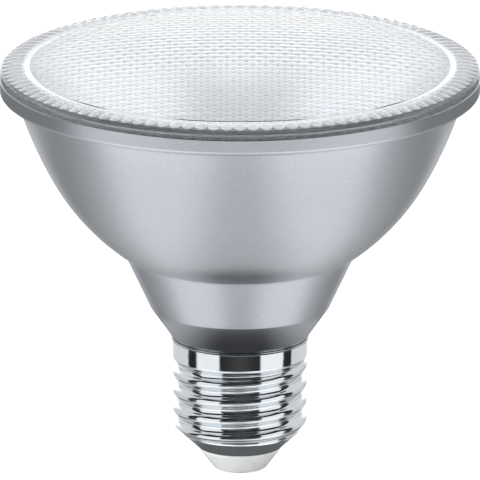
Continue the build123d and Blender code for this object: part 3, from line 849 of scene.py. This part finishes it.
def lens_outline(size):
    """Section of the lens from the axis, out along the underside and back over the face, with ring counts."""
    groove_steps = 6
    # Each ring of the face has this many points more than the ring inside it
    growth = 6
    around = growth * size.face_rings
    brink = size.seat + size.thickness
    skirt_inner = size.skirt_radius - size.skirt_wall
    skirt_foot = size.seat - size.skirt_drop
    under = crown_line(skirt_inner, size.seat, size.hollow,
                       [skirt_inner * i / size.under_rings for i in range(size.under_rings + 1)])
    under += [complex(skirt_inner, skirt_foot), complex(size.skirt_radius, skirt_foot),
              complex(size.skirt_radius, size.seat)]
    edge = [complex(size.radius, size.seat), complex(size.radius, brink - size.bevel),
            complex(size.radius - size.bevel, brink)]
    ring_edge = complex(size.groove_inner + size.groove_width, size.ring_height)
    slope = ring_edge - edge[-1]
    border = [edge[-1] + slope * (i + 1) / size.border_rings for i in range(size.border_rings)]
    half_groove = size.groove_width / 2
    turns = [math.pi * i / groove_steps for i in range(1, groove_steps)]
    groove = [ring_edge + complex(half_groove * (math.cos(turn) - 1), -size.groove_depth * math.sin(turn))
              for turn in turns]
    rings = range(size.face_rings, -1, -1)
    face = crown_line(size.groove_inner, size.ring_height, size.top - size.ring_height,
                      [size.groove_inner * ring / size.face_rings for ring in rings])
    counts = poles(under, around) + [2 * around] * len(edge + border) + [around] * len(groove)
    counts += [max(1, growth * ring) for ring in rings]
    return under + edge + border + groove + face, counts


def lens_relief(graph, size):
    """Height of the pebbles in their staggered rows and of the radial beads in the border."""
    x, y, _ = graph.split(graph.node("GeometryNodeInputPosition")["Position"])
    upward = graph.split(graph.node("GeometryNodeInputNormal")["Normal"])[2] > 0.5
    radius = (x * x + y * y) ** 0.5
    inside = graph.ease(size["Pebble reach"] - radius, start=0.0, end=size["Pebble fade"])
    pebbles = pebble_rise(x, y, size["Pebble pitch"]) * size["Pebble height"] * inside
    bead = bead_rise(graph, x, y, radius, size).math("MAXIMUM", 0.0)
    return (pebbles + bead * size["Flute height"]) * upward


class LAMP_OT_lens(bpy.types.Operator):
    """Makes the clear front disc with its pebbles and its border of beads"""

    bl_idname = "lamp.lens"
    bl_label = "Lens"

    def execute(self, context):
        settings = context.scene.lamp
        size = settings.lens
        outline, counts = lens_outline(size)
        mesh, _ = lathe(outline, counts, closed=False)
        material = clear_lens(settings.colours.lens, size)
        disc = add_object("lens_disc", mesh, material)
        raise_relief(disc, "lens_relief", {
            "Pebble pitch": size.pebble_pitch,
            "Pebble height": size.pebble_height,
            "Pebble reach": size.pebble_reach,
            "Pebble fade": size.pebble_fade,
            "Flute height": size.flute_height,
            **bead_sizes(size),
        }, lens_relief, material)
        hand_over(disc, "front_lens")
        return {"FINISHED"}


# Screw cap


def knuckle(away, pitch, depth):
    """Rolled thread's height from -1 at the root to 1 at the crest, a distance away from the crest."""
    half = pitch / 2
    radius = half / (2 * math.sin(2 * math.atan(depth / half)))
    if away <= half / 2:
        fall = radius - math.sqrt(radius ** 2 - away ** 2)
    else:
        fall = depth - radius + math.sqrt(radius ** 2 - (half - away) ** 2)
    return 1 - 2 * fall / depth


def swell(part):
    """Smooth rise from 0 to 1."""
    return 0.5 - 0.5 * math.cos(math.pi * min(1, max(0, part)))


def thread_cap(rings, size):
    """Lays the right-handed thread on rings of points, fading in from the cone and out into the collar."""
    depth = size.thread_depth
    middle = size.crest_radius - depth / 2
    fade = size.pitch / 2
    for ring in rings:
        height = ring[0].co.z
        rise = swell((height - size.thread_start) / fade)
        run_out = swell((size.thread_end - height) / fade)
        plain = size.cone_radius + rise * (middle - size.cone_radius) + (1 - run_out) * depth / 2
        for vertex in ring:
            turn = math.atan2(vertex.co.y, vertex.co.x) - math.pi
            crest = size.crest_height + size.pitch * turn / (2 * math.pi)
            away = abs((height - crest + size.pitch / 2) % size.pitch - size.pitch / 2)
            radius = plain + depth / 2 * rise * run_out * knuckle(away, size.pitch, depth)
            vertex.co.xy *= radius / vertex.co.xy.length


def cap_outline(size):
    """Section of the cap, up the outside and down the bore, and the stretch of it that takes the thread."""
    cone_steps = 6
    lip_steps = 3
    bore = size.crest_radius - size.thread_depth - size.sheet
    mouth_bore = size.mouth_radius - size.sheet
    mouth = complex(size.mouth_radius, size.mouth_height)
    rise = complex(size.cone_radius, size.thread_start) - mouth
    shoulder = size.mouth_height + (bore - mouth_bore) * rise.imag / rise.real
    cone = [mouth + rise * i / cone_steps for i in range(cone_steps)]
    threaded = size.thread_end - size.thread_start
    steps = round(size.turn_rings * threaded / size.pitch)
    thread = [complex(size.crest_radius, size.thread_start + threaded * i / steps) for i in range(steps + 1)]
    lip = complex(size.lip_radius, size.top - size.lip_height)
    lip_top = complex(size.lip_radius, size.top)
    lip_round = size.lip_height / 3
    bore_top = complex(bore, size.top)
    collar = [complex(size.crest_radius, lip.imag - size.lip_rise)]
    collar += rounded(collar[0], lip, lip_top, lip_round, lip_steps)
    collar += rounded(lip, lip_top, bore_top, lip_round, lip_steps)
    inside = [bore_top, complex(bore, shoulder), complex(mouth_bore, size.mouth_height)]
    return cone + thread + collar + inside, slice(len(cone), len(cone + thread))


class LAMP_OT_cap(bpy.types.Operator):
    """Makes the rolled screw cap with its knuckle thread"""

    bl_idname = "lamp.cap"
    bl_label = "Screw cap"

    def execute(self, context):
        settings = context.scene.lamp
        size = settings.cap
        outline, threaded = cap_outline(size)
        mesh, rings = lathe(outline, poles(outline, size.segments))
        thread_cap(rings[threaded], size)
        shell = add_object("threaded_cap", mesh, bright_nickel(settings.colours.nickel))
        hand_over(shell, "cap_shell")
        return {"FINISHED"}


# Insulator and contact


def insulator_outline(size):
    """Section of the insulator: cone, part inside the cap, dished floor and the contact's seat."""
    edge_steps = 4
    seat = size.contact_radius + size.gap
    hole = size.stem_radius + size.gap
    tip = complex(size.tip_radius, size.tip_height)
    edge = complex(size.edge_radius, size.edge_height)
    mouth = complex(size.edge_radius, size.mouth_height)
    web_top = size.tip_height + size.web
    outline = [complex(seat, size.tip_height)]
    outline += rounded(outline[0], tip, edge, size.tip_round)
    outline += rounded(tip, edge, mouth, size.tip_round / 2, edge_steps)
    outline += [mouth, complex(size.top_radius, size.top_height),
                complex(size.top_radius - size.top_wall, size.top_height), complex(seat, web_top),
                complex(hole, web_top), complex(hole, size.contact_thickness),
                complex(seat, size.contact_thickness)]
    return outline


def contact_outline(size):
    """Section of the contact from the axis: dimple, rounded edge and hollow stem."""
    edge_steps = 4
    dimple_floor = 0.6 * size.dimple_radius
    dimple_brim = 1.2 * size.dimple_radius
    rim = complex(size.contact_radius, 0)
    outline = [complex(0, size.dimple_depth), complex(dimple_floor, size.dimple_depth),
               complex(size.dimple_radius, size.dimple_depth / 4), complex(dimple_brim, 0)]
    outline += rounded(outline[-1], rim, rim + 1j, size.contact_round, edge_steps)
    outline += [complex(size.contact_radius, size.contact_thickness),
                complex(size.stem_radius, size.contact_thickness),
                complex(size.stem_radius, size.stem_top), complex(size.stem_bore, size.stem_top),
                complex(size.stem_bore, size.contact_thickness), complex(0, size.contact_thickness)]
    return outline


class LAMP_OT_tip(bpy.types.Operator):
    """Makes the white insulator and the centre contact"""

    bl_idname = "lamp.tip"
    bl_label = "Insulator and contact"

    def execute(self, context):
        settings = context.scene.lamp
        size = settings.tip
        outline = insulator_outline(size)
        mesh, _ = lathe(outline, poles(outline, size.segments))
        cone = add_object("insulator_cone", mesh, white_plastic(settings.colours.plastic))
        hand_over(cone, "cap_insulator")
        outline = contact_outline(size)
        mesh, _ = lathe(outline, poles(outline, size.contact_segments), closed=False)
        disc = add_object("contact_disc", mesh, bright_nickel(settings.colours.nickel))
        hand_over(disc, "contact_plate")
        return {"FINISHED"}


# Inside


def reflector_outline(size):
    """Section of the cup: collar and parabola outside, flange, and the parabola back inside."""
    throat = size.throat_radius
    spread = (size.mouth_radius ** 2 - throat ** 2) / (size.mouth_height - size.throat_height)

    def cup(top, shift):
        """Parabola from the throat to a height, moved outwards."""
        end = math.sqrt(throat ** 2 + spread * (top - size.throat_height))
        radii = [throat + (end - throat) * i / size.rings for i in range(size.rings + 1)]
        return [complex(radius + shift, size.throat_height + (radius ** 2 - throat ** 2) / spread)
                for radius in radii]

    outline = [complex(throat, size.foot_height), complex(throat + size.wall, size.foot_height)]
    outline += cup(size.ledge_height, size.wall)
    outline += [complex(size.flange_radius, size.ledge_height),
                complex(size.flange_radius, size.mouth_height)]
    return outline + cup(size.mouth_height, 0.0)[::-1]


class LAMP_OT_reflector(bpy.types.Operator):
    """Makes the metallised cup behind the lens"""

    bl_idname = "lamp.reflector"
    bl_label = "Reflector"

    def execute(self, context):
        settings = context.scene.lamp
        size = settings.reflector
        outline = reflector_outline(size)
        mesh, _ = lathe(outline, poles(outline, size.segments))
        bowl = add_object("reflector_cup", mesh, mirror_coat(settings.colours.mirror, size))
        hand_over(bowl, "reflector")
        return {"FINISHED"}


class LAMP_OT_inside(bpy.types.Operator):
    """Gives the light source, the seal and the driver's pieces their finishes"""

    bl_idname = "lamp.inside"
    bl_label = "Light source and driver"

    def execute(self, context):
        colours = {"yellow_phosphor": context.scene.lamp.colours.phosphor}
        finishes = {}
        remade = {"front_lens", "housing", "cap_shell", "cap_insulator", "contact_plate", "reflector"}
        for row in frame["record"]["subparts"]:
            slot = row["material_slot"]
            if row["node"] in remade:
                continue
            if slot not in finishes:
                finishes[slot] = inner_finish(slot, colours.get(slot, slots[slot]["base_color"]))
            dress(row["node"], finishes[slot])
        return {"FINISHED"}


# Stage


def lay_square(mesh, half, height):
    """Level square round the axis, facing up."""
    corners = ((-half, -half), (half, -half), (half, half), (-half, half))
    mesh.faces.new([mesh.verts.new((x, y, height)) for x, y in corners])


def make_floor(size):
    """Pale floor that keeps the lamp's shadow and is open from below."""
    mesh = bmesh.new()
    lay_square(mesh, size.floor_size / 2, -size.floor_drop)
    material, graph = new_finish("pale_floor")
    seen = graph.node("ShaderNodeLightPath")["Is Camera Ray"]
    grain = graph.mottle(size=40 * MM)
    paper = graph.node("ShaderNodeBsdfDiffuse", inputs={
        "Color": graph.blend(grain, low=scaled(size.floor_colour, gain=0.995), high=size.floor_colour)})
    glow = graph.node("ShaderNodeEmission", inputs={"Strength": seen * size.floor_glow})
    lit = graph.node("ShaderNodeAddShader", inputs={0: paper["BSDF"], 1: glow["Emission"]})
    below = graph.node("ShaderNodeNewGeometry")["Backfacing"]
    open_below = graph.node("ShaderNodeBsdfTransparent")
    both = graph.node("ShaderNodeMixShader", inputs={0: below, 1: lit["Shader"], 2: open_below["BSDF"]})
    graph.node("ShaderNodeOutputMaterial", inputs={"Surface": both["Shader"]})
    floor = add_object("floor", mesh, material)
    floor.visible_glossy = False
    floor.visible_transmission = False
    floor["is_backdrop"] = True


def make_world(size):
    """White studio: white to the camera, walls and flags to metal, a tent to the lens, a fill to the rest."""
    world = bpy.data.worlds.new("studio")
    world.use_nodes = True
    world.cycles.sampling_method = "NONE"
    graph = Graph(world.node_tree)
    rays = graph.node("ShaderNodeLightPath")
    x, y, z = graph.split(graph.node("ShaderNodeTexCoord")["Generated"])
    tiny = 0.0001
    soft = math.radians(2)
    side = abs(x) / ((x * x + y * y) ** 0.5 + tiny)

    def turned(turn):
        """Everything that lies further round than a turn, from straight ahead or straight behind."""
        return graph.ease(side, math.sin(turn - soft), math.sin(turn + soft))

    # Walls: softboxes before the lamp, pale walls with a window behind it, dark flags between them
    before = y < 0.0
    ahead = (1 - turned(size.front_turn)) * before
    beside = turned(size.side_turn)
    lid = graph.ease(z, start=0.45, end=0.55) * (1 - graph.ease(y, start=-0.1, end=0.2))
    flags = ahead.math("MAXIMUM", beside).math("MAXIMUM", lid)
    window = (1 - graph.ease(side, start=0.35, end=0.6)) * graph.ease(z, start=-0.2, end=-0.1)
    back = size.back_level + window * size.window_gain
    pale = back + (size.box_level - back) * before
    glow = ahead * (1 - graph.ease(side, start=0.0, end=math.sin(size.front_turn)))
    walls = pale * (1 - flags) + flags * (size.flag_level + glow * size.front_glow)

    # Table under the lamp: a panel at each side, darker to the back, with a bright front edge
    under = graph.ease(z, start=-0.36, end=-0.5)
    drop = abs(z) + tiny
    aside = abs(x) / drop
    spread = aside + y / drop
    panel = graph.ease(aside, start=0.1, end=0.4) * (1 - graph.ease(spread, start=0.75, end=1.35))
    fall = graph.ease(spread, start=0.9, end=2.2)
    strip = graph.ease(z, start=-0.66, end=-0.58) * before
    table = size.table_level + panel * size.panel_level - fall * size.table_fall + strip * size.strip_level

    # White tent that the lens shows, brighter towards the camera and at each side
    fore = 1 - graph.ease(y, start=-0.45, end=-0.1)
    wings = graph.ease(abs(x), start=0.2, end=0.6)
    tent = size.sky_level + fore * size.sky_gain + wings * size.wing_gain

    through = rays["Is Transmission Ray"]
    metal = walls * (1 - under) + table * under
    shown = metal * rays["Is Glossy Ray"] * (1 - through) + tent * through
    shown = shown + size.fill_level * rays["Is Diffuse Ray"]
    seen = rays["Is Camera Ray"]
    light = graph.node("ShaderNodeBackground", inputs={"Strength": seen + shown * (1 - seen)})
    graph.node("ShaderNodeOutputWorld", inputs={"Surface": light["Background"]})
    bpy.context.scene.world = world


def make_cards(size):
    """Flags that only metal shows: a dark ring round the cap and a patch under it, which paint shade into the
    metal's reflections near the cap and under it, and a band far round the lamp.
    """
    mesh = bmesh.new()
    lay_square(mesh, size.card_reach, -size.card_drop)
    lay_square(mesh, size.ring_reach, size.ring_height)
    material, graph = new_finish("flag_cards")
    x, y, z, away = graph.place()
    low = z < size.ring_height / 2
    # Painted shade: the ring darkens what the neck reflects just above the cap, and is greyer to each side.
    ring = (1 - graph.ease(away, start=18 * MM, end=20.5 * MM)) * (1 - low)
    # Painted shadow: the patch darkens the floor under the cap, as metal reflects it.
    patch = (1 - graph.ease(away, start=9 * MM, end=15 * MM)) * low
    fore = 1 - graph.ease(y, start=-100 * MM, end=0.0)
    flanks = graph.ease(abs(x), start=80 * MM, end=150 * MM)
    band = graph.ease(away, start=170 * MM, end=210 * MM) * low * fore.math("MAXIMUM", flanks)
    ring_sides = ring * graph.ease(abs(x), start=4 * MM, end=18 * MM)
    grey = band * (fore * size.fore_gain + size.band_gain) + patch * size.patch_gain
    grey = grey + ring_sides * size.ring_gain + size.card_level
    dark = graph.node("ShaderNodeEmission", inputs={"Strength": grey})
    clear = graph.node("ShaderNodeBsdfTransparent")
    below = graph.node("ShaderNodeNewGeometry")["Backfacing"]
    shown = ring.math("MAXIMUM", patch).math("MAXIMUM", band) * (1 - below)
    both = graph.node("ShaderNodeMixShader", inputs={0: shown, 1: clear["BSDF"], 2: dark["Emission"]})
    graph.node("ShaderNodeOutputMaterial", inputs={"Surface": both["Shader"]})
    card = add_object("flag_cards", mesh, material)
    card.visible_camera = False
    card.visible_diffuse = False
    card.visible_transmission = False
    card.visible_shadow = False
    card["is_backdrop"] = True


def aim(made, turn, elevation, distance, height):
    """Puts an object round the lamp, at a turn from the camera's side, and points it at the axis."""
    back = Vector((math.sin(turn) * math.cos(elevation), -math.cos(turn) * math.cos(elevation),
                   math.sin(elevation)))
    made.location = Vector((0, 0, height)) + back * distance
    made.rotation_mode = "QUATERNION"
    made.rotation_quaternion = back.to_track_quat("Z", "Y")


def make_softbox(name, turn, elevation, power, size):
    """Soft area light that metal doesn't show."""
    light = bpy.data.lights.new("softbox_" + name, "AREA")
    light.shape = "RECTANGLE"
    light.size = size.box_width
    light.size_y = size.box_height
    light.energy = power
    box = bpy.data.objects.new("softbox_" + name, light)
    bpy.context.scene.collection.objects.link(box)
    box.visible_camera = False
    box.visible_glossy = False
    box.visible_transmission = False
    aim(box, turn, elevation, size.box_distance, size.aim_height)


def make_lights(size):
    """Softboxes left and right of the camera, weaker ones behind, and a light overhead."""
    behind = math.pi - size.box_turn
    boxes = (("left", -size.box_turn, size.left_gain), ("right", size.box_turn, size.right_gain),
             ("back_left", -behind, size.back_gain), ("back_right", behind, size.back_gain))
    for name, turn, gain in boxes:
        make_softbox(name, turn, size.box_elevation, size.box_power * gain, size)
    make_softbox("top", 0.0, size.top_elevation, size.top_power, size)


def make_camera(size):
    """Long lens at the picture's viewing angle."""
    camera = bpy.data.cameras.new("camera")
    camera.lens = size.focal
    camera.clip_end = 20.0
    made = bpy.data.objects.new("camera", camera)
    bpy.context.scene.collection.objects.link(made)
    aim(made, 0.0, size.elevation, size.distance, size.aim_height)
    bpy.context.scene.camera = made


class LAMP_OT_stage(bpy.types.Operator):
    """Sets up the floor, the studio light and the camera"""

    bl_idname = "lamp.stage"
    bl_label = "Stage"

    def execute(self, context):
        size = context.scene.lamp.stage
        make_floor(size)
        make_world(size)
        make_cards(size)
        make_lights(size)
        make_camera(size)
        context.scene.view_settings.view_transform = "Standard"
        return {"FINISHED"}


# Sidebar and registration

groups = (HousingSizes, LensSizes, CapSizes, TipSizes, ReflectorSizes, FinishColours, StageSizes,
          LampSettings)
operators = (LAMP_OT_stage, LAMP_OT_housing, LAMP_OT_lens, LAMP_OT_cap, LAMP_OT_tip, LAMP_OT_reflector,
             LAMP_OT_inside)


class LAMP_PT_sidebar(bpy.types.Panel):
    """Sizes and colours of the lamp, and the steps that make it."""

    bl_idname = "LAMP_PT_sidebar"
    bl_label = "Reflector lamp"
    bl_space_type = "VIEW_3D"
    bl_region_type = "UI"
    bl_category = "Lamp"

    def draw(self, context):
        settings = context.scene.lamp
        for name in LampSettings.__annotations__:
            box = self.layout.box()
            box.label(text=name.capitalize())
            group = getattr(settings, name)
            for field in type(group).__annotations__:
                box.prop(group, field)
        for operator in operators:
            self.layout.operator(operator.bl_idname)


classes = (*groups, *operators, LAMP_PT_sidebar)


def register():
    for item in classes:
        bpy.utils.register_class(item)
    bpy.types.Scene.lamp = bpy.props.PointerProperty(type=LampSettings)


def unregister():
    del bpy.types.Scene.lamp
    for item in reversed(classes):
        bpy.utils.unregister_class(item)


def main():
    register()
    for operator in operators:
        group, name = operator.bl_idname.split(".")
        getattr(getattr(bpy.ops, group), name)()
    boxes = {"cad": [list(corner) for corner in cad_box],
             "visual": [list(corner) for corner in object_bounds()]}


if __name__ == "__main__":
    main()
